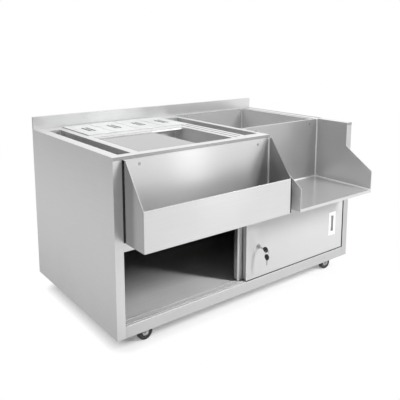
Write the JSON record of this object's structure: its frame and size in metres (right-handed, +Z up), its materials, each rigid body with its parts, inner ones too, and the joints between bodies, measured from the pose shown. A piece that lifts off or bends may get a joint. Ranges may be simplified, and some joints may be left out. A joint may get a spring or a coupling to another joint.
{
  "type": "cocktail station",
  "caption": "Free-standing stainless bar station on casters: ice bin with sliding cover, garnish pans, bottle well, front bottle rail, step-down shelf and sliding cabinet doors.",
  "frame": {"origin": "on the floor, under the middle of the station's overall box", "axes": "+X along the length towards the shelf end, +Y towards the rear upstand, +Z up"},
  "size_m": [1.4, 0.965, 0.86],
  "materials": {
    "stainless_sheet": "fine brushed stainless sheet",
    "pan_steel": "pressed stainless, satin",
    "lid_plastic": "pale moulded polycarbonate",
    "pull_steel": "satin pressed pull",
    "lock_chrome": "bright plated",
    "key_plastic": "black moulded bow on a plated blade",
    "glide_nylon": "natural nylon",
    "foam_jacket": "closed-cell foam board",
    "drain_plastic": "moulded waste fitting",
    "zinc_steel": "bright zinc plate",
    "wheel_rubber": "black moulded tyre on a dark core"
  },
  "bodies": {
    "frame": {"left_side_panel": "stainless_sheet", "right_side_panel": "stainless_sheet", "back_panel": "stainless_sheet", "base_shelf": "stainless_sheet", "bottom_rail": "stainless_sheet", "top_rail": "stainless_sheet", "front_apron": "stainless_sheet", "step_ledge": "stainless_sheet", "worktop": "stainless_sheet", "upstand": "stainless_sheet", "left_tool_trough": "stainless_sheet", "right_tool_trough": "stainless_sheet", "bottle_well": "stainless_sheet", "ice_bin_liner": "stainless_sheet", "ice_bin_insulation": "foam_jacket", "ice_bin_false_bottom": "stainless_sheet", "ice_bin_drain": "drain_plastic", "pan_bars": "stainless_sheet", "speed_rail": "stainless_sheet", "step_shelf": "stainless_sheet", "rail_and_shelf_screws": "zinc_steel", "base_channels": "stainless_sheet", "caster_plates": "zinc_steel", "caster_bolts": "zinc_steel"},
    "outer_door": {"outer_door_skin": "stainless_sheet", "outer_door_back": "stainless_sheet", "outer_door_pull": "pull_steel", "outer_door_glides": "glide_nylon", "lock_barrel": "lock_chrome"},
    "inner_door": {"inner_door_skin": "stainless_sheet", "inner_door_back": "stainless_sheet", "inner_door_pull": "pull_steel", "inner_door_glides": "glide_nylon"},
    "lock_cylinder": {"lock_plug": "lock_chrome", "lock_cam": "lock_chrome", "key": "key_plastic"},
    "spare_keys": {"key_ring": "lock_chrome", "spare_key": "key_plastic"},
    "ice_cover": {"ice_bin_cover": "stainless_sheet"},
    "caster_fork_1": {"caster_fork_1": "zinc_steel", "caster_axle_1": "zinc_steel"},
    "caster_wheel_1": {"caster_wheel_1": "wheel_rubber"},
    "caster_fork_2": {"caster_fork_2": "zinc_steel", "caster_axle_2": "zinc_steel"},
    "caster_wheel_2": {"caster_wheel_2": "wheel_rubber"},
    "caster_fork_3": {"caster_fork_3": "zinc_steel", "caster_axle_3": "zinc_steel"},
    "caster_wheel_3": {"caster_wheel_3": "wheel_rubber"},
    "caster_fork_4": {"caster_fork_4": "zinc_steel", "caster_axle_4": "zinc_steel"},
    "caster_wheel_4": {"caster_wheel_4": "wheel_rubber"},
    "pan_1": {"garnish_pan_1": "pan_steel"},
    "lid_1": {"pan_lid_1": "lid_plastic"},
    "pan_2": {"garnish_pan_2": "pan_steel"},
    "lid_2": {"pan_lid_2": "lid_plastic"},
    "pan_3": {"garnish_pan_3": "pan_steel"},
    "lid_3": {"pan_lid_3": "lid_plastic"},
    "pan_4": {"garnish_pan_4": "pan_steel"},
    "lid_4": {"pan_lid_4": "lid_plastic"}
  },
  "joints": [
    {"name": "outer_door_slide", "type": "slide", "parent": "frame", "child": "outer_door", "axis": [1, 0, 0], "range_m": [-0.628, 0]},
    {"name": "inner_door_slide", "type": "slide", "parent": "frame", "child": "inner_door", "axis": [1, 0, 0], "range_m": [-0.599, 0.03]},
    {"name": "lock_turn", "type": "hinge", "parent": "outer_door", "child": "lock_cylinder", "pos_m": [0.044, -0.3165, 0.278], "axis": [0, 1, 0], "range_deg": [0, 90]},
    {"name": "spare_key_swing", "type": "hinge", "parent": "lock_cylinder", "child": "spare_keys", "pos_m": [0.044, -0.3725, 0.278], "axis": [1, 0, 0], "range_deg": [-70, 25]},
    {"name": "ice_cover_slide", "type": "slide", "parent": "frame", "child": "ice_cover", "axis": [1, 0, 0], "range_m": [0, 0.181]},
    {"name": "caster_swivel_1", "type": "hinge", "parent": "frame", "child": "caster_fork_1", "pos_m": [-0.57, -0.2525, 0.085], "axis": [0, 0, 1], "continuous": true},
    {"name": "caster_spin_1", "type": "hinge", "parent": "caster_fork_1", "child": "caster_wheel_1", "pos_m": [-0.54, -0.2525, 0.034], "axis": [0, 1, 0], "continuous": true},
    {"name": "caster_swivel_2", "type": "hinge", "parent": "frame", "child": "caster_fork_2", "pos_m": [0.57, -0.2525, 0.085], "axis": [0, 0, 1], "continuous": true},
    {"name": "caster_spin_2", "type": "hinge", "parent": "caster_fork_2", "child": "caster_wheel_2", "pos_m": [0.6, -0.2525, 0.034], "axis": [0, 1, 0], "continuous": true},
    {"name": "caster_swivel_3", "type": "hinge", "parent": "frame", "child": "caster_fork_3", "pos_m": [-0.57, 0.4175, 0.085], "axis": [0, 0, 1], "continuous": true},
    {"name": "caster_spin_3", "type": "hinge", "parent": "caster_fork_3", "child": "caster_wheel_3", "pos_m": [-0.54, 0.4175, 0.034], "axis": [0, 1, 0], "continuous": true},
    {"name": "caster_swivel_4", "type": "hinge", "parent": "frame", "child": "caster_fork_4", "pos_m": [0.57, 0.4175, 0.085], "axis": [0, 0, 1], "continuous": true},
    {"name": "caster_spin_4", "type": "hinge", "parent": "caster_fork_4", "child": "caster_wheel_4", "pos_m": [0.6, 0.4175, 0.034], "axis": [0, 1, 0], "continuous": true},
    {"name": "pan_1_lift", "type": "slide", "parent": "frame", "child": "pan_1", "axis": [0, 0, 1], "range_m": [0, 0.12]},
    {"name": "lid_1_lift", "type": "slide", "parent": "pan_1", "child": "lid_1", "axis": [0, 0, 1], "range_m": [0, 0.06]},
    {"name": "pan_2_lift", "type": "slide", "parent": "frame", "child": "pan_2", "axis": [0, 0, 1], "range_m": [0, 0.12]},
    {"name": "lid_2_lift", "type": "slide", "parent": "pan_2", "child": "lid_2", "axis": [0, 0, 1], "range_m": [0, 0.06]},
    {"name": "pan_3_lift", "type": "slide", "parent": "frame", "child": "pan_3", "axis": [0, 0, 1], "range_m": [0, 0.12]},
    {"name": "lid_3_lift", "type": "slide", "parent": "pan_3", "child": "lid_3", "axis": [0, 0, 1], "range_m": [0, 0.06]},
    {"name": "pan_4_lift", "type": "slide", "parent": "frame", "child": "pan_4", "axis": [0, 0, 1], "range_m": [0, 0.12]},
    {"name": "lid_4_lift", "type": "slide", "parent": "pan_4", "child": "lid_4", "axis": [0, 0, 1], "range_m": [0, 0.06]}
  ]
}
